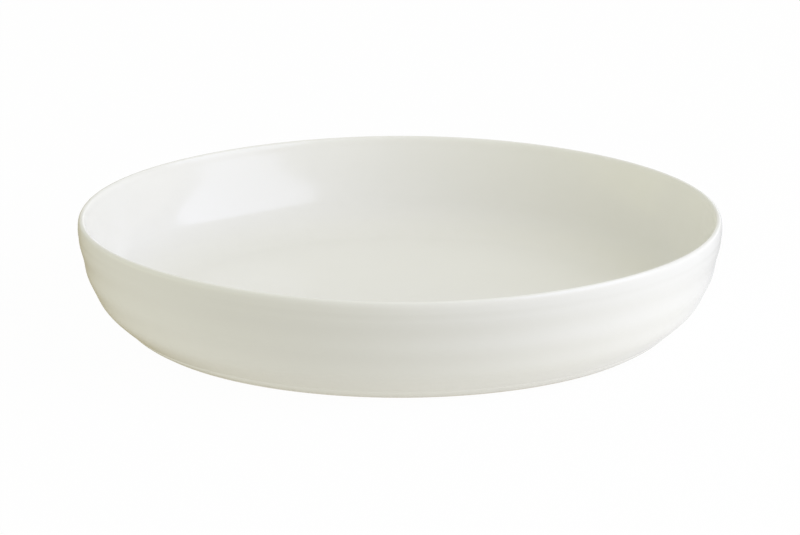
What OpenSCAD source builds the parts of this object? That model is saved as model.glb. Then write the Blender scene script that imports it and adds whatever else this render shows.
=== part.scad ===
// Deep plate in glazed porcelain, made by turning one outline round the upright axis.
// The outline that the eye sees is the glazed skin. The fired body lies one glaze
// thickness inside it and comes to the surface only at the standing band.
// Millimetres, Z up, origin on the table under the middle of the plate.

/* [Rim] */
// Diameter over the widest line of the rim
rim_d = 220; // [206:1:250]
// Height of the lip's crest above the table
plate_h = 37.6; // [33:0.2:48]
// Height of the rounded lip above the widest line
lip_h = 3.8; // [3:0.1:5]
// How far the crest of the lip lies inside the widest line
lip_lean = 1.4; // [0.8:0.1:2.2]

/* [Wall] */
// Thickness of the wall under the lip
wall_t = 3.1; // [2.6:0.1:4.5]
// Thickness of the wall where the cove of the dish begins
wall_low_t = 4.5; // [3.5:0.1:6]
// How far the wall leans out along its straight flare
flare = 5.55; // [3:0.05:8]
// Depth of the soft throwing bands, from the mean line of the wall
band_depth = 0.22; // [0.05:0.01:0.35]
// Number of soft bands between the rim and the foot
band_count = 3; // [2:1:4]

/* [Dish] */
// Thickness of the floor over the recess of the foot
floor_t = 4.8; // [4:0.1:6.5]
// How far the middle of the floor dips
floor_dip = 0.3; // [0:0.05:0.6]
// Run of the cove over the floor
cove_run = 20; // [12:0.5:30]

/* [Foot] */
// Diameter of the wall's mean line where it meets the foot
foot_d = 189.8; // [178:0.2:196]
// Height at which they meet, above the table
foot_h = 3.2; // [2.6:0.1:4.2]
// How far the outside of the foot draws in from that line
foot_draw = 4; // [3:0.1:5]
// Width of the bare band that the plate stands on
stand_w = 2.6; // [2:0.1:4]
// Run of the slope inside the foot
foot_slope = 3.4; // [2.5:0.1:5]
// Depth of the recess inside the foot
recess_h = 3; // [2:0.1:3.6]
// How far the recess rises towards its middle
recess_rise = 0.3; // [0:0.05:0.5]
// Height of the bare bevel on each edge of the standing band
bare_h = 0.35; // [0.2:0.05:0.5]

/* [Glaze] */
// Thickness of the fired glaze
glaze_t = 0.3; // [0.15:0.05:0.4]

/* [Hidden] */
clay_white = [0.9, 0.87, 0.81];
glaze_white = [0.95, 0.95, 0.92];
base_white = [0.93, 0.93, 0.9];
$fn = 180;

// Heights and radii that the outline hangs on
rim_r = rim_d / 2;
widest_z = plate_h - lip_h;
wall_h = widest_z - foot_h;
joint_r = foot_d / 2;
stand_out_r = joint_r - foot_draw;
stand_in_r = stand_out_r - stand_w;
recess_r = stand_in_r - foot_slope;
floor_z = recess_h + floor_t;

// The outside of the wall: a straight flare, a turn under towards the foot, and the bands
turn = rim_r - joint_r - flare;
turn_power = 3.9;
// The wall leaves the widest line upright and takes up its flare over this share of its height
flare_ease_share = 0.03;
// The first band starts this share of a band down the wall, and the last one runs on into the foot
band_lead_share = 0.17;
band_turns = band_count + 1 / 8;
// Below the rim the bands fade in over this share of the wall
band_fade_share = 0.12;
// The cove of the dish leaves the wall at this share of the way down
cove_share = 0.62;

// Handles of the curves, as shares of the run that each belongs to
lip_out_shares = [0.62, 0.86];
lip_in_shares = [0.75, 0.4];
cove_shares = [0.7, 0.6];
foot_out_shares = [[0.12, 0.36], [0.72, 0.88]];
foot_in_shares = [0.5, 0.6];

// Points along each stretch of the outline
wall_steps = 30;
inside_steps = 12;
lip_steps = 9;
cove_steps = 14;
floor_steps = 4;
foot_steps = 6;

// A point at t of a curve with four control points
function bezier(p, t) =
    pow(1 - t, 3) * p[0] + 3 * pow(1 - t, 2) * t * p[1] + 3 * (1 - t) * t * t * p[2] + pow(t, 3) * p[3];
// The curve as a list of points, with its first point left off
function run(p, steps) = [for (i = [1 : steps]) bezier(p, i / steps)];
// A point at share s of the way from a to b
function between(a, b, s) = a + s * (b - a);
function unit(v) = v / norm(v);
function left_of(v) = [-v[1], v[0]];
// An outline moved by d to the left of its direction of travel
function moved(path, d) = [
    for (i = [0 : len(path) - 1])
        let (
            before = path[max(i - 1, 0)],
            after = path[min(i + 1, len(path) - 1)],
            side = left_of(unit(after - before))
        )
        path[i] + d * side
];
function turned_back(path) = [for (i = [len(path) - 1 : -1 : 0]) path[i]];

// Outside of the wall at share u of the way down from the widest line to the joint
function fade(u) = let (s = min(u / band_fade_share, 1)) s * s * (3 - 2 * s);
function drift(u) = norm([u, flare_ease_share]) - flare_ease_share;
function mean_r(u) = rim_r - flare * drift(u) / drift(1) - turn * pow(u, turn_power);
function wall_z(u) = widest_z - wall_h * u;
function swell(u) = band_depth * fade(u) * sin(360 * (band_turns * u - band_lead_share));
function wall_point(u) = [mean_r(u) + swell(u), wall_z(u)];

// Inside of the wall, one wall thickness in from the mean line of the outside
function mean_point(u) = [mean_r(u), wall_z(u)];
function down_wall(u) = let (d = 1 / wall_steps) unit(mean_point(u + d) - mean_point(u));
function wall_thickness(u) = between(wall_t, wall_low_t, min(u / cove_share, 1));
function inside_point(u) = mean_point(u) - wall_thickness(u) * left_of(down_wall(u));

// Stretches of the glazed skin, each in the order up the outside and down the inside
joint = wall_point(1);
widest = [rim_r, widest_z];
crest = [rim_r - lip_lean, plate_h];
lip_foot = inside_point(0);
cove_top = inside_point(cove_share);
cove_corner = cove_top + (cove_top[1] - floor_z) / -down_wall(cove_share)[1] * down_wall(cove_share);
cove_end = [cove_corner[0] - cove_run, floor_z];

foot_out_ends = [[stand_out_r, bare_h], joint];
function foot_handle(shares) = [
    between(joint[0], stand_out_r, shares[0]),
    between(joint[1], bare_h, shares[1])
];
foot_outside = [
    foot_out_ends[0],
    foot_handle(foot_out_shares[1]),
    foot_handle(foot_out_shares[0]),
    joint
];
lip_outside = [
    widest,
    [rim_r, widest_z + lip_out_shares[0] * lip_h],
    [crest[0] + lip_out_shares[1] * lip_lean, plate_h],
    crest
];
lip_inside = [
    crest,
    [between(crest[0], lip_foot[0], lip_in_shares[0]), plate_h],
    lip_foot - lip_in_shares[1] * (plate_h - lip_foot[1]) * down_wall(0),
    lip_foot
];
cove = [
    cove_top,
    between(cove_top, cove_corner, cove_shares[0]),
    between(cove_end, cove_corner, cove_shares[1]),
    cove_end
];
foot_inside = [
    [recess_r, recess_h],
    [between(recess_r, stand_in_r, foot_in_shares[0]), recess_h],
    [stand_in_r, between(bare_h, recess_h, foot_in_shares[1])],
    [stand_in_r, bare_h]
];

// A shallow dip or rise across a round face, from its edge at r to the axis
function to_axis(r, z, change) = [
    for (i = [1 : floor_steps])
        let (s = i / floor_steps)
        [r * (1 - s), z + change * s * s * (3 - 2 * s)]
];

dish_skin = concat(
    [foot_outside[0]],
    run(foot_outside, foot_steps),
    [for (i = [1 : wall_steps]) wall_point(1 - i / wall_steps)],
    run(lip_outside, lip_steps),
    run(lip_inside, lip_steps),
    [for (i = [1 : inside_steps]) inside_point(cove_share * i / inside_steps)],
    run(cove, cove_steps),
    to_axis(cove_end[0], floor_z, -floor_dip)
);
base_skin = concat(
    turned_back(to_axis(recess_r, recess_h, recess_rise)),
    [foot_inside[0]],
    run(foot_inside, foot_steps)
);

// The body's own faces under the glaze. A point on the axis stays on the axis.
function on_axis(path) = [for (p = path) [max(p[0], 0), p[1]]];
dish_bed = on_axis(moved(dish_skin, glaze_t));
base_bed = on_axis(moved(base_skin, glaze_t));

// Fired porcelain: floor, wall, lip and foot in one, bare only where it stands
module porcelain_body() {
    color(clay_white)
        rotate_extrude()
            polygon(concat(
                base_bed,
                [[stand_in_r + bare_h, 0], [stand_out_r - bare_h, 0]],
                dish_bed
            ));
}

// Glaze from the outside of the foot, up the wall, over the lip and across the dish
module dish_glaze() {
    color(glaze_white)
        rotate_extrude()
            polygon(concat(dish_skin, turned_back(dish_bed)));
}

// Glaze inside the foot, cut off from the rest by the bare standing band
module base_glaze() {
    color(base_white)
        rotate_extrude()
            polygon(concat(base_skin, turned_back(base_bed)));
}

porcelain_body();
dish_glaze();
base_glaze();
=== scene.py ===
# Deep plate in glazed porcelain: the turned body and its two coats of glaze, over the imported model.
# Metres, Z up, origin on the table under the middle of the plate.
import math

import bpy
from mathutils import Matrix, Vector, noise


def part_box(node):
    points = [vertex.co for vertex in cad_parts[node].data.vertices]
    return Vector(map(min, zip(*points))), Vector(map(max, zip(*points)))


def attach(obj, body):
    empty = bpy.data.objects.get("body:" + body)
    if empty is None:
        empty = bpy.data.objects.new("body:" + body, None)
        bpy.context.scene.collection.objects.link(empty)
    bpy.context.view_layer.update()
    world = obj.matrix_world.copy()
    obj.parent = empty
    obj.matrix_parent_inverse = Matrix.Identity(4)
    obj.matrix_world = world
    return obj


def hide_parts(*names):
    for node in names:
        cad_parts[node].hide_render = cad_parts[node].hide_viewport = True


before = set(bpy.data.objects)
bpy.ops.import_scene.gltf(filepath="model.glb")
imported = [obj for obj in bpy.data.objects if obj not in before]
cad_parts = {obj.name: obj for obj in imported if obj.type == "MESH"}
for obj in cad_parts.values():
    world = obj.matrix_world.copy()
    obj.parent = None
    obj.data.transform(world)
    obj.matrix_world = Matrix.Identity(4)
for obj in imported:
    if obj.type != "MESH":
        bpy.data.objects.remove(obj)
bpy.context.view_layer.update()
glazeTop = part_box("dish_glaze")[1]
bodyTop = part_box("porcelain_body")[1]
print("frame loaded:", ", ".join(sorted(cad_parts)))


# The outline of the plate, from the values of the solids but for the bands and the inside of the lip

plateForm = {
    "lipHeight": 0.0038,
    "lipLean": 0.0014,
    "lipOutShares": (0.62, 0.86),
    "lipInShares": (0.62, 0.4),
    "wallThickness": 0.0031,
    "lowWallThickness": 0.0045,  # where the cove of the dish begins
    "flare": 0.00555,
    "flareEaseShare": 0.03,
    "straightInside": 0.16,  # above this share of the wall, the thickness is measured square to one line
    "insideStep": 0.02,  # stretch at the top of the inside that sets the lip's last direction
    "turnPower": 3.9,
    "bandDepth": 0.00016,
    "bandTurns": 3.125,
    "bandLeadShare": 0.17,
    "bandFadeShare": 0.12,
    "floorThickness": 0.0048,
    "floorDip": 0.0003,
    "coveShare": 0.62,
    "coveRun": 0.020,
    "coveShares": (0.7, 0.6),
    "jointRadius": 0.0949,
    "footHeight": 0.0032,
    "footDraw": 0.004,
    "footOutShares": ((0.12, 0.36), (0.72, 0.88)),
    "footInShares": (0.5, 0.6),
    "standWidth": 0.0026,
    "footSlope": 0.0034,
    "recessHeight": 0.003,
    "recessRise": 0.0003,
    "bareHeight": 0.00035,
}

# Points along each stretch. The hidden faces keep the count of the solids.
coarseSteps = {"wall": 30, "inside": 12, "lip": 9, "cove": 14, "floor": 4, "foot": 6}
fineSteps = {"wall": 72, "inside": 30, "lip": 22, "cove": 34, "floor": 16, "foot": 18}

glazeThickness = glazeTop.z - bodyTop.z
rimRadius = glazeTop.x
plateHeight = glazeTop.z
widestHeight = plateHeight - plateForm["lipHeight"]
wallHeight = widestHeight - plateForm["footHeight"]
turnUnder = rimRadius - plateForm["jointRadius"] - plateForm["flare"]
standOuter = plateForm["jointRadius"] - plateForm["footDraw"]
standInner = standOuter - plateForm["standWidth"]
recessRadius = standInner - plateForm["footSlope"]
floorHeight = plateForm["recessHeight"] + plateForm["floorThickness"]


def point(radius, height):
    return Vector((radius, height))


def between(first, second, share):
    return first + (second - first) * share


def eased(share):
    share = min(max(share, 0.0), 1.0)
    return share * share * (3 - 2 * share)


def curve(handles, steps):  # a bent run through four handles, with its first point left off
    points = []
    for step in range(1, steps + 1):
        t = step / steps
        weights = ((1 - t) ** 3, 3 * (1 - t) ** 2 * t, 3 * (1 - t) * t * t, t**3)
        points.append(sum((w * h for w, h in zip(weights, handles)), point(0, 0)))
    return points


def leftOf(direction):
    direction = direction.normalized()
    return point(-direction.y, direction.x)


def moved(path, distance):  # the path pushed to the left of its direction of travel
    last = len(path) - 1
    return [
        at + distance * leftOf(path[min(i + 1, last)] - path[max(i - 1, 0)])
        for i, at in enumerate(path)
    ]


def drift(u):  # how far the wall has leaned in, at share u of the way down
    return math.hypot(u, plateForm["flareEaseShare"]) - plateForm["flareEaseShare"]


def meanPoint(u):  # the wall without its bands
    leaned = plateForm["flare"] * drift(u) / drift(1)
    turned = turnUnder * u ** plateForm["turnPower"]
    return point(rimRadius - leaned - turned, widestHeight - wallHeight * u)


def wallPoint(u):
    depth = plateForm["bandDepth"] * eased(u / plateForm["bandFadeShare"])
    turns = plateForm["bandTurns"] * u - plateForm["bandLeadShare"]
    return meanPoint(u) + point(depth * math.sin(math.tau * turns), 0)


def downWall(u):
    return (meanPoint(u + 1 / coarseSteps["wall"]) - meanPoint(u)).normalized()


def insidePoint(u):  # the lean of the inside goes on up to the lip, without the eased start
    share = min(u / plateForm["coveShare"], 1)
    thickness = between(plateForm["wallThickness"], plateForm["lowWallThickness"], share)
    givenBack = plateForm["flare"] * (drift(u) - u + plateForm["flareEaseShare"]) / drift(1)
    down = downWall(max(u, plateForm["straightInside"]))
    return meanPoint(u) + point(givenBack, 0) - thickness * leftOf(down)


def toAxis(radius, height, change, steps):
    shares = [i / steps for i in range(1, steps + 1)]
    return [point(radius * (1 - s), height + change * eased(s)) for s in shares]


def dishSkin(steps):  # from the foot up the outside, over the lip and down to the middle of the dish
    form = plateForm
    joint = wallPoint(1)
    standEdge = point(standOuter, form["bareHeight"])
    widest = point(rimRadius, widestHeight)
    crest = point(rimRadius - form["lipLean"], plateHeight)
    lipFoot = insidePoint(0)
    insideDown = (insidePoint(form["insideStep"]) - lipFoot).normalized()
    coveTop = insidePoint(form["coveShare"])
    down = downWall(form["coveShare"])
    coveCorner = coveTop + (coveTop.y - floorHeight) / -down.y * down
    coveEnd = point(coveCorner.x - form["coveRun"], floorHeight)
    near, far = form["footOutShares"]
    footOutside = [
        standEdge,
        point(between(joint.x, standEdge.x, far[0]), between(joint.y, standEdge.y, far[1])),
        point(between(joint.x, standEdge.x, near[0]), between(joint.y, standEdge.y, near[1])),
        joint,
    ]
    lipOutside = [
        widest,
        widest + point(0, form["lipOutShares"][0] * form["lipHeight"]),
        crest + point(form["lipOutShares"][1] * form["lipLean"], 0),
        crest,
    ]
    lipInside = [
        crest,
        point(between(crest.x, lipFoot.x, form["lipInShares"][0]), plateHeight),
        lipFoot - form["lipInShares"][1] * (plateHeight - lipFoot.y) * insideDown,
        lipFoot,
    ]
    cove = [
        coveTop,
        between(coveTop, coveCorner, form["coveShares"][0]),
        between(coveEnd, coveCorner, form["coveShares"][1]),
        coveEnd,
    ]
    wallShares = [1 - i / steps["wall"] for i in range(1, steps["wall"] + 1)]
    insideShares = [form["coveShare"] * i / steps["inside"] for i in range(1, steps["inside"] + 1)]
    return (
        [standEdge]
        + curve(footOutside, steps["foot"])
        + [wallPoint(u) for u in wallShares]
        + curve(lipOutside, steps["lip"])
        + curve(lipInside, steps["lip"])
        + [insidePoint(u) for u in insideShares]
        + curve(cove, steps["cove"])
        + toAxis(coveEnd.x, floorHeight, -form["floorDip"], steps["floor"])
    )


def baseSkin(steps):  # from the middle of the recess out to the inner edge of the standing band
    form = plateForm
    recessEdge = point(recessRadius, form["recessHeight"])
    footInside = [
        recessEdge,
        point(between(recessRadius, standInner, form["footInShares"][0]), form["recessHeight"]),
        point(standInner, between(form["bareHeight"], form["recessHeight"], form["footInShares"][1])),
        point(standInner, form["bareHeight"]),
    ]
    recess = toAxis(recessRadius, form["recessHeight"], form["recessRise"], steps["floor"])
    return recess[::-1] + [recessEdge] + curve(footInside, steps["foot"])


# Turning an outline into a piece

turning = {
    "segments": 240,
    "poleRadius": 0.00001,
    "outOfRound": 0.00014,  # how far firing pulls the rim in from a true circle
    "outOfRoundTurn": 0.7,  # in radians
    "outOfFlat": 0.00035,  # how far the lip dips at the far left and the far right
    "outOfFlatTurn": 0.2,
    # degree, half width in degrees, and height of each soft rise of the near lip
    "lifts": ((222, 52, 0.0009), (310, 40, 0.00035)),
    "bendWindow": 0.0020,  # stretch of outline over which the melting glaze feels a bend
    "shortestStep": 0.000001,  # anything shorter has no direction
    "fullBend": 260.0,  # bend, in radians per metre of outline, at which glaze is fully thin or pooled
    "edgeRound": 0.6,  # share of the last step of a coat that its rounded corner takes
    "edgeWave": 0.00012,  # how far the wiped edge of the glaze wanders
    "edgeReach": 0.0016,
    "edgeScales": (4.0, 13.0),
    "quickWaveShare": 0.5,
    "sharpAngle": 40.0,  # faces that meet at more degrees than this keep a crisp edge
}


def settled(radius, height, angle):  # every piece shares these pulls, so the coats stay on the body
    rise = eased(height / plateHeight)
    farSide = 0.5 + 0.5 * math.sin(angle)
    oval = 0.5 + 0.5 * math.cos(2 * angle + turning["outOfRoundTurn"])
    waves = 0.5 - 0.5 * math.cos(4 * angle + turning["outOfFlatTurn"])
    pull = turning["outOfRound"] * rise * oval
    dip = turning["outOfFlat"] * rise * farSide * waves
    for middle, halfWidth, lift in turning["lifts"]:
        away = abs((math.degrees(angle) - middle + 180) % 360 - 180) / halfWidth
        dip -= lift * rise * eased(1 - away)
    return (radius - pull) * math.cos(angle), (radius - pull) * math.sin(angle), height - dip


def distances(path):
    along = [0.0]
    for before, after in zip(path, path[1:]):
        along.append(along[-1] + (after - before).length)
    return along


def onPath(path, along, distance):
    distance = min(max(distance, 0.0), along[-1])
    for i in range(1, len(path)):
        if along[i] >= distance:
            span = along[i] - along[i - 1]
            return between(path[i - 1], path[i], (distance - along[i - 1]) / span)
    return path[-1]


def glazeDepths(path):  # 1 where the melt pools in a hollow, -1 where it runs thin over an edge
    along = distances(path)
    depths = []
    for i, at in enumerate(path):
        before = onPath(path, along, along[i] - turning["bendWindow"])
        after = onPath(path, along, along[i] + turning["bendWindow"])
        if min((at - before).length, (after - at).length) < turning["shortestStep"]:
            depths.append(0.0)
            continue
        first, second = (at - before).normalized(), (after - at).normalized()
        bend = (first.x * second.y - first.y * second.x) / turning["bendWindow"]
        depths.append(max(-1.0, min(1.0, -bend / turning["fullBend"])))
    return depths


def roundedStart(path, cutEnd, steps=4):  # rounds the corner between the cut of a coat and its skin
    corner = path[0]
    first = between(corner, cutEnd, turning["edgeRound"])
    last = between(corner, path[1], turning["edgeRound"])
    rounded = []
    for step in range(steps + 1):
        t = step / steps
        rounded.append((1 - t) ** 2 * first + 2 * (1 - t) * t * corner + t * t * last)
    return rounded + path[1:]


def edgeShift(distance, angle):
    hold = max(0.0, 1 - abs(distance) / turning["edgeReach"]) ** 2
    place = Vector((math.cos(angle), math.sin(angle), 0.0))
    slow, quick = turning["edgeScales"]
    wander = noise.noise(place * slow) + turning["quickWaveShare"] * noise.noise(place * quick)
    return math.copysign(turning["edgeWave"] * wander * hold, distance)


# Where each disc of a piece lies on its baked sheet: middle and reach. No two discs of a piece overlap.
sheetDiscs = {
    "bodyUnder": ((0.25, 0.25), 0.24),
    "bodyOver": ((0.68, 0.68), 0.31),
    "coatSkin": ((0.5, 0.5), 0.495),
    "coatBed": ((0.07, 0.07), 0.065),
}


def turnedPiece(name, outline, depths, charts, edge=None):
    # charts lays the surface out flat as discs: first point, last point, the pole's point and a disc
    segments = turning["segments"]
    count = len(outline)
    loop = outline + [outline[0]]
    along = distances(loop)
    corners, rings, alongValues, depthValues = [], [], [], []
    for i, at in enumerate(outline):
        if at.x < turning["poleRadius"]:
            rings.append([len(corners)] * segments)
            corners.append(settled(0.0, at.y, 0.0))
            alongValues.append(along[i])
            depthValues.append(depths[i])
            continue
        rings.append(range(len(corners), len(corners) + segments))
        tangent = (loop[i + 1] - outline[i - 1]).normalized()
        for segment in range(segments):
            angle = math.tau * segment / segments
            place = at
            if edge is not None:
                fromEdge = (along[i] - along[edge] + along[-1] / 2) % along[-1] - along[-1] / 2
                place = at + edgeShift(fromEdge, angle) * tangent
            corners.append(settled(place.x, place.y, angle))
            alongValues.append(along[i])
            depthValues.append(depths[i])
    faces, places = [], []
    for first, last, pole, (middle, reach) in charts:
        far = max(abs(along[i] - along[pole]) for i in range(first, last + 1))
        spread = [reach * abs(along[i] - along[pole]) / far for i in range(first, last + 1)]
        for i in range(first, last):
            low, high = rings[i], rings[(i + 1) % count]
            if low[0] == low[1] and high[0] == high[1]:
                continue
            for segment in range(segments):
                turn = (segment + 1) % segments
                ends = [
                    (low[segment], spread[i - first], segment),
                    (low[turn], spread[i - first], segment + 1),
                    (high[turn], spread[i + 1 - first], segment + 1),
                    (high[segment], spread[i + 1 - first], segment),
                ]
                if low[0] == low[1]:
                    ends.pop(1)
                elif high[0] == high[1]:
                    ends.pop(2)
                faces.append([corner for corner, _, _ in ends])
                for _, radius, step in ends:
                    angle = math.tau * step / segments
                    across, up = radius * math.cos(angle), radius * math.sin(angle)
                    places.append((middle[0] + across, middle[1] + up))
    mesh = bpy.data.meshes.new(name)
    mesh.from_pydata(corners, [], faces)
    layer = mesh.uv_layers.new(name="OFBake")
    layer.uv.foreach_set("vector", [value for place in places for value in place])
    for label, values in (("alongSkin", alongValues), ("glazeDepth", depthValues)):
        mesh.attributes.new(label, "FLOAT", "POINT").data.foreach_set("value", values)
    mesh.shade_smooth()
    mesh.set_sharp_from_angle(angle=math.radians(turning["sharpAngle"]))
    mesh.update()
    piece = bpy.data.objects.new(name, mesh)
    bpy.context.scene.collection.objects.link(piece)
    return piece


# Shader nodes, with sums written as sums

noiseMiddle = 0.5  # Blender's noise swings evenly about this value


class Wire:
    def __init__(self, board, socket):
        self.board = board
        self.socket = socket

    def joined(self, operation, first, second):
        return self.board.add("ShaderNodeMath", {"operation": operation}, {0: first, 1: second})

    def __add__(self, other):
        return self.joined("ADD", self, other)

    def __radd__(self, other):
        return self.joined("ADD", other, self)

    def __sub__(self, other):
        return self.joined("SUBTRACT", self, other)

    def __rsub__(self, other):
        return self.joined("SUBTRACT", other, self)

    def __mul__(self, other):
        return self.joined("MULTIPLY", self, other)

    def __rmul__(self, other):
        return self.joined("MULTIPLY", other, self)


class Board:
    def __init__(self, owner):
        owner.use_nodes = True
        self.tree = owner.node_tree
        self.tree.nodes.clear()

    def add(self, kind, settings=None, values=None, output=0):
        node = self.tree.nodes.new(kind)
        for label, setting in (settings or {}).items():
            setattr(node, label, setting)
        for label, value in (values or {}).items():
            if isinstance(value, Wire):
                self.tree.links.new(value.socket, node.inputs[label])
            else:
                node.inputs[label].default_value = value
        return Wire(self, node.outputs[output]) if node.outputs else None

    def attribute(self, label):
        return self.add("ShaderNodeAttribute", {"attribute_name": label}, output="Fac")

    def noise(self, place, scale, detail):
        return self.add("ShaderNodeTexNoise", {}, {"Vector": place, "Scale": scale, "Detail": detail})

    def wave(self, value):
        return self.add("ShaderNodeMath", {"operation": "SINE"}, {0: value})

    def stepUp(self, value, low, high):  # 0 under low, 1 over high, smooth between
        limits = {"Value": value, "From Min": low, "From Max": high, "To Min": 0.0, "To Max": 1.0}
        return self.add("ShaderNodeMapRange", {"interpolation_type": "SMOOTHSTEP"}, limits)

    def mixed(self, share, first, second):  # the colour sockets of a Mix node are 6 and 7, and 2 comes out
        return self.add("ShaderNodeMix", {"data_type": "RGBA"}, {0: share, 6: first, 7: second}, 2)


def tone(red, green, blue):
    return (red, green, blue, 1.0)


def newMaterial(name):
    material = bpy.data.materials.new(name)
    return material, Board(material)


def wear(piece, material):
    piece.data.materials.clear()
    piece.data.materials.append(material)
    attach(piece, "root")


def glazeFinish(name, look):
    material, board = newMaterial(name)
    place = board.add("ShaderNodeTexCoord", output="Object")
    depth = board.attribute("glazeDepth")
    along = board.attribute("alongSkin")
    cloud = board.noise(place, look["cloudScale"], look["cloudDetail"])
    swirl = board.noise(place, look["swirlScale"], look["swirlDetail"])
    pull = look["cloudPull"] * (cloud - noiseMiddle)
    pooled = board.stepUp(depth + pull, *look["poolReach"])
    thin = board.stepUp(pull - depth, *look["thinReach"])
    colour = board.mixed(board.stepUp(cloud, *look["cloudReach"]), look["tone"], look["cloudTone"])
    colour = board.mixed(pooled * look["poolShare"], colour, look["poolTone"])
    colour = board.mixed(thin * look["thinShare"], colour, look["thinTone"])
    rings = board.wave(along * (math.tau / look["ringPitch"]) + swirl * look["ringStray"])
    peel = board.noise(place, look["peelScale"], look["softDetail"])
    slump = board.noise(place, look["slumpScale"], look["softDetail"])
    height = rings * look["ringHeight"] + peel * look["peelHeight"] + slump * look["slumpHeight"]
    bump = board.add("ShaderNodeBump", {}, {"Height": height, "Distance": 1.0, "Strength": 1.0})
    roughness = look["roughness"] + look["roughSpread"] * (swirl - noiseMiddle) + look["thinRough"] * thin
    shader = board.add(
        "ShaderNodeBsdfPrincipled",
        {},
        {
            "Base Color": colour,
            "Roughness": roughness,
            "Normal": bump,
            "IOR": look["glassIor"],
        },
    )
    board.add("ShaderNodeOutputMaterial", {}, {"Surface": shader})
    return material


# The fired body, which shows only at the standing band

bodyLook = {
    "clay": tone(0.78, 0.745, 0.67),
    "fineClay": tone(0.83, 0.80, 0.735),
    "rub": tone(0.62, 0.60, 0.555),
    "grainScale": 2400.0,  # the clay's own grain
    "grainDetail": 4.0,
    "grainReach": (0.35, 0.65),
    "grainHeight": 0.000012,
    "patchScale": 90.0,
    "patchDetail": 3.0,
    "patchReach": (0.42, 0.62),
    "roughness": 0.86,
    "polish": 0.22,  # how much smoother the band is where it has rubbed on tables
    "rubHeight": 0.00012,  # nothing higher than this touches a table
    "rubShare": 0.45,
}


def bareFinish(name, look):
    material, board = newMaterial(name)
    place = board.add("ShaderNodeTexCoord", output="Object")
    height = board.add("ShaderNodeSeparateXYZ", {}, {"Vector": place}, "Z")
    grain = board.noise(place, look["grainScale"], look["grainDetail"])
    patch = board.noise(place, look["patchScale"], look["patchDetail"])
    low = 1 - board.stepUp(height, 0.0, look["rubHeight"])
    rubbed = low * board.stepUp(patch, *look["patchReach"])
    colour = board.mixed(board.stepUp(grain, *look["grainReach"]), look["clay"], look["fineClay"])
    colour = board.mixed(rubbed * look["rubShare"], colour, look["rub"])
    bump = board.add("ShaderNodeBump", {}, {"Height": grain * look["grainHeight"], "Distance": 1.0})
    shader = board.add(
        "ShaderNodeBsdfPrincipled",
        {},
        {
            "Base Color": colour,
            "Roughness": look["roughness"] - look["polish"] * rubbed,
            "Normal": bump,
        },
    )
    board.add("ShaderNodeOutputMaterial", {}, {"Surface": shader})
    return material


dishBed = moved(dishSkin(coarseSteps), glazeThickness)
baseBed = moved(baseSkin(coarseSteps), glazeThickness)
dishBed[-1].x = 0.0
baseBed[0].x = 0.0

bareBand = [
    point(standInner + plateForm["bareHeight"], 0.0),
    point(standOuter - plateForm["bareHeight"], 0.0),
]
bodyOutline = baseBed + bareBand + dishBed
bodyCharts = [
    (0, len(baseBed) + 1, 0, sheetDiscs["bodyUnder"]),
    (len(baseBed) + 1, len(bodyOutline) - 1, len(bodyOutline) - 1, sheetDiscs["bodyOver"]),
]
body = turnedPiece("plateBody", bodyOutline, [0.0] * len(bodyOutline), bodyCharts)
wear(body, bareFinish("bareClay", bodyLook))
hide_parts("porcelain_body")
print("body turned:", len(body.data.polygons), "faces")


# The coat of glaze over the wall, the lip and the dish

dishLook = {
    "tone": tone(0.828, 0.823, 0.778),
    "cloudTone": tone(0.838, 0.833, 0.788),
    "poolTone": tone(0.80, 0.793, 0.738),
    "thinTone": tone(0.857, 0.852, 0.80),
    "poolShare": 0.2,
    "thinShare": 0.15,
    "poolReach": (0.05, 0.9),
    "thinReach": (0.25, 1.0),
    "cloudScale": 22.0,
    "cloudDetail": 3.0,
    "cloudReach": (0.3, 0.7),
    "cloudPull": 0.35,  # how far the clouds shift where glaze pools or runs thin
    "swirlScale": 55.0,
    "swirlDetail": 2.0,
    "softDetail": 1.0,
    "ringPitch": 0.0021,  # fine turning rings that show through the glaze
    "ringStray": 5.0,
    "ringHeight": 0.0000008,
    "peelScale": 320.0,  # orange peel
    "peelHeight": 0.000003,
    "slumpScale": 38.0,  # wide soft slumps of the melt
    "slumpHeight": 0.00004,
    "roughness": 0.15,
    "roughSpread": 0.06,
    "thinRough": 0.03,
    "glassIor": 1.45,
}

dishOutside = roundedStart(dishSkin(fineSteps), dishBed[0])
dishOutline = dishOutside + dishBed[::-1]
dishCharts = [
    (0, len(dishOutside) - 1, len(dishOutside) - 1, sheetDiscs["coatSkin"]),
    (len(dishOutside), len(dishOutline), len(dishOutside), sheetDiscs["coatBed"]),
]
dishDepths = glazeDepths(dishOutside) + [0.0] * len(dishBed)
dish = turnedPiece("dishGlaze", dishOutline, dishDepths, dishCharts, edge=0)
wear(dish, glazeFinish("dishGlass", dishLook))
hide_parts("dish_glaze")
print("dish glazed:", len(dish.data.polygons), "faces")


# The coat of glaze under the plate, inside the foot

baseLook = dict(
    dishLook,
    tone=tone(0.805, 0.79, 0.735),
    cloudTone=tone(0.82, 0.805, 0.75),
    roughness=0.24,
    ringPitch=0.0034,
    ringHeight=0.0000025,
)
baseInside = roundedStart(baseSkin(fineSteps)[::-1], baseBed[-1])[::-1]
baseOutline = baseInside + baseBed[::-1]
baseCharts = [
    (0, len(baseInside), 0, sheetDiscs["coatSkin"]),
    (len(baseInside), len(baseOutline) - 1, len(baseOutline) - 1, sheetDiscs["coatBed"]),
]
baseDepths = glazeDepths(baseInside) + [0.0] * len(baseBed)
base = turnedPiece("baseGlaze", baseOutline, baseDepths, baseCharts, edge=len(baseInside))
wear(base, glazeFinish("baseGlass", baseLook))
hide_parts("base_glaze")
print("base glazed:", len(base.data.polygons), "faces")


# Table, sky, lamp and screen

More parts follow.
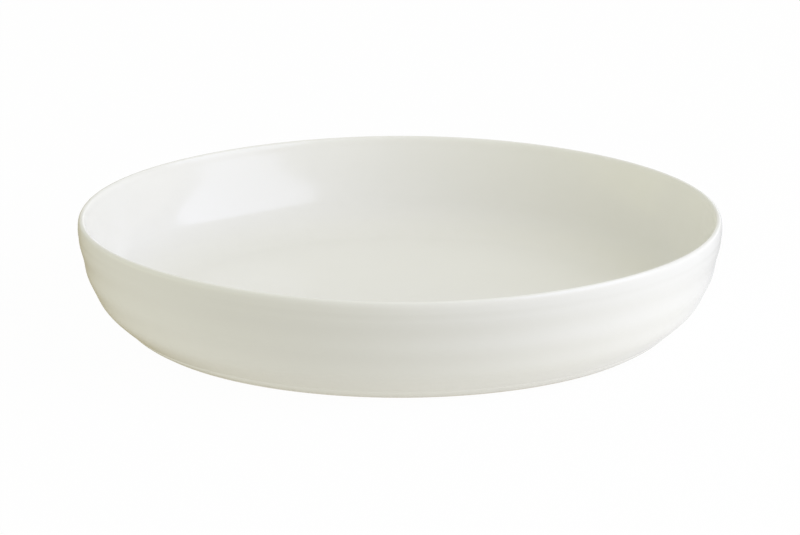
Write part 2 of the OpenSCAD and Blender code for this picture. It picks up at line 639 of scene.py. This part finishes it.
tableSettings = {
    "halfWidth": 6.0,
    "tone": tone(0.92, 0.92, 0.92),
    "whiteShare": 0.965,  # the rest of what the camera sees in it keeps the plate's shadow
    "bounceTone": tone(0.3, 0.3, 0.3),
    "leftShine": tone(0.31, 0.26, 0.12),  # how the glaze mirrors it, to the left and right of the plate
    "rightShine": tone(0.80, 0.80, 0.82),
    "farRightShine": tone(0.52, 0.52, 0.53),
    "shineReach": (-0.10, 0.10),
    "farShineReach": (0.105, 0.155),
    "glow": 0.64,  # light that the pale table throws up close to the plate
    "farGlow": 0.29,
    "footShade": 0.1,  # the share of it that the plate's own shade takes at the foot, on the left
    "footLift": 0.22,  # and the share that comes on top at the foot, on the lit right
    "footReach": (0.09, 0.125),
    "sideLift": 0.5,  # how much more of it comes from the right
    "sideReach": (0.04, 0.22),
    "sideTone": tone(0.95, 0.96, 0.965),
    "glowTone": tone(1.0, 0.99, 0.93),
    "glowMiddle": (0.12, 0.0, 0.0),
    "glowReach": (0.10, 0.16),
    "glowSpread": (0.35, 1.0, 1.0),  # it runs on to the left and right
}
skySettings = {
    "level": 0.835,
    "tone": tone(1.0, 1.0, 0.925),
    "topLevel": 0.7,  # the room over the plate is a little darker and warmer
    "topTone": tone(1.0, 0.995, 0.855),
    "topReach": (0.35, 0.9),
    "lowShine": 1.3,  # how bright the glaze mirrors the backdrop close to the table, on the right
    "leftLowShine": 0.45,  # and on the left
    "highShine": 0.66,
    "shineReach": (0.125, 0.155),
    "sideReach": (-0.7, 0.3),
}
lampSettings = {  # a wide soft lamp on the right, seen from the photograph's side
    "azimuth": -18.0,
    "elevation": 31.0,
    "distance": 1.5,
    "width": 1.75,
    "height": 1.22,
    "glow": 2.47,
    "tone": (0.735, 0.755, 1.0),
}
screenSettings = {  # a low pale screen on the left
    "azimuth": 184.0,
    "elevation": 6.0,
    "distance": 1.5,
    "width": 2.4,
    "height": 0.3,
    "glow": 0.65,
    "tone": (1.0, 0.99, 0.55),
}
plainWhite = tone(1.0, 1.0, 1.0)


def makeTable(settings):
    half = settings["halfWidth"]
    corners = [(-half, -half, 0), (half, -half, 0), (half, half, 0), (-half, half, 0)]
    mesh = bpy.data.meshes.new("table")
    mesh.from_pydata(corners, [], [(0, 1, 2, 3)])
    table = bpy.data.objects.new("table", mesh)
    bpy.context.scene.collection.objects.link(table)
    material, board = newMaterial("paleTable")
    camera = board.add("ShaderNodeLightPath", output="Is Camera Ray")
    glossy = board.add("ShaderNodeLightPath", output="Is Glossy Ray")
    clear = board.add("ShaderNodeLightPath", output="Is Transmission Ray")
    place = board.add("ShaderNodeTexCoord", output="Object")
    across = board.add("ShaderNodeSeparateXYZ", {}, {"Vector": place}, "X")
    away = board.add("ShaderNodeVectorMath", {"operation": "LENGTH"}, {0: place}, "Value")
    middle, spread = settings["glowMiddle"], settings["glowSpread"]
    place = board.add("ShaderNodeVectorMath", {"operation": "SUBTRACT"}, {0: place, 1: middle})
    place = board.add("ShaderNodeVectorMath", {"operation": "MULTIPLY"}, {0: place, 1: spread})
    reach = board.add("ShaderNodeVectorMath", {"operation": "LENGTH"}, {0: place}, "Value")
    far = board.stepUp(reach, *settings["glowReach"])
    glow = settings["glow"] + (settings["farGlow"] - settings["glow"]) * far
    side = board.stepUp(across, *settings["sideReach"])
    atFoot = 1 - board.stepUp(away, *settings["footReach"])
    shade = settings["footShade"] - (settings["footShade"] + settings["footLift"]) * side
    glow = glow * (1 + settings["sideLift"] * side) * (1 - shade * atFoot)
    glowColour = board.mixed(side, settings["glowTone"], settings["sideTone"])
    colour = board.mixed(camera, settings["bounceTone"], settings["tone"])
    matte = board.add("ShaderNodeBsdfDiffuse", {}, {"Color": colour})
    bounce = board.add("ShaderNodeEmission", {}, {"Color": glowColour, "Strength": glow * (1 - camera)})
    lit = board.add("ShaderNodeAddShader", {}, {0: matte, 1: bounce})
    farOff = board.stepUp(away, *settings["farShineReach"])
    onRight = board.stepUp(across, *settings["shineReach"])
    rightShine = board.mixed(farOff, settings["rightShine"], settings["farRightShine"])
    shine = board.mixed(onRight, settings["leftShine"], rightShine)
    white = board.add("ShaderNodeEmission", {}, {"Color": board.mixed(camera, shine, plainWhite)})
    seen = (camera + glossy + clear) * settings["whiteShare"]
    shader = board.add("ShaderNodeMixShader", {}, {0: seen, 1: lit, 2: white})
    board.add("ShaderNodeOutputMaterial", {}, {"Surface": shader})
    mesh.materials.append(material)


def makeSky(settings):
    world = bpy.data.worlds.new("studioSky")
    bpy.context.scene.world = world
    board = Board(world)
    camera = board.add("ShaderNodeLightPath", output="Is Camera Ray")
    glossy = board.add("ShaderNodeLightPath", output="Is Glossy Ray")
    clear = board.add("ShaderNodeLightPath", output="Is Transmission Ray")
    heading = board.add("ShaderNodeTexCoord", output="Generated")
    height = board.add("ShaderNodeSeparateXYZ", {}, {"Vector": heading}, "Z")
    across = board.add("ShaderNodeSeparateXYZ", {}, {"Vector": heading}, "X")
    low = 1 - board.stepUp(height, *settings["shineReach"])
    side = board.stepUp(across, *settings["sideReach"])
    lowShine = settings["leftLowShine"] + (settings["lowShine"] - settings["leftLowShine"]) * side
    shine = settings["highShine"] + (lowShine - settings["highShine"]) * low
    seen = camera + (glossy + clear) * shine
    top = board.stepUp(height, *settings["topReach"])
    level = settings["level"] + (settings["topLevel"] - settings["level"]) * top
    roomTone = board.mixed(top, settings["tone"], settings["topTone"])
    light = {"Color": board.mixed(camera + glossy + clear, roomTone, plainWhite)}
    light["Strength"] = seen + (1 - camera - glossy - clear) * level
    board.add("ShaderNodeOutputWorld", {}, {"Surface": board.add("ShaderNodeBackground", {}, light)})


def makeLamp(name, settings):
    azimuth, elevation = math.radians(settings["azimuth"]), math.radians(settings["elevation"])
    width, height = settings["width"], settings["height"]
    ovalArea = width * height * math.pi / 4
    heading = Vector(
        (
            math.cos(elevation) * math.cos(azimuth),
            math.cos(elevation) * math.sin(azimuth),
            math.sin(elevation),
        )
    )
    data = bpy.data.lights.new(name, "AREA")
    data.shape = "ELLIPSE"
    data.size, data.size_y = width, height
    data.energy = settings["glow"] * math.pi * ovalArea
    data.color = settings["tone"]
    lamp = bpy.data.objects.new(name, data)
    lamp.location = heading * settings["distance"]
    lamp.rotation_euler = (-heading).to_track_quat("-Z", "Y").to_euler()
    lamp.visible_camera = False
    bpy.context.scene.collection.objects.link(lamp)


makeTable(tableSettings)
makeSky(skySettings)
makeLamp("softbox", lampSettings)
makeLamp("sideScreen", screenSettings)
print("stage set")


# Camera at the photograph's angle

cameraSettings = {
    "target": (0.0, 0.0, 0.01848),
    "distance": 1.6,
    "elevation": 15.727,
    "lens": 210.18,
}


def makeCamera(settings):
    elevation = math.radians(settings["elevation"])
    back = Vector((0.0, -math.cos(elevation), math.sin(elevation)))
    data = bpy.data.cameras.new("camera")
    data.lens = settings["lens"]
    camera = bpy.data.objects.new("camera", data)
    camera.location = Vector(settings["target"]) + back * settings["distance"]
    camera.rotation_euler = (-back).to_track_quat("-Z", "Y").to_euler()
    bpy.context.scene.collection.objects.link(camera)
    bpy.context.scene.camera = camera


makeCamera(cameraSettings)
bpy.context.scene.view_settings.view_transform = "Standard"
print("camera set")
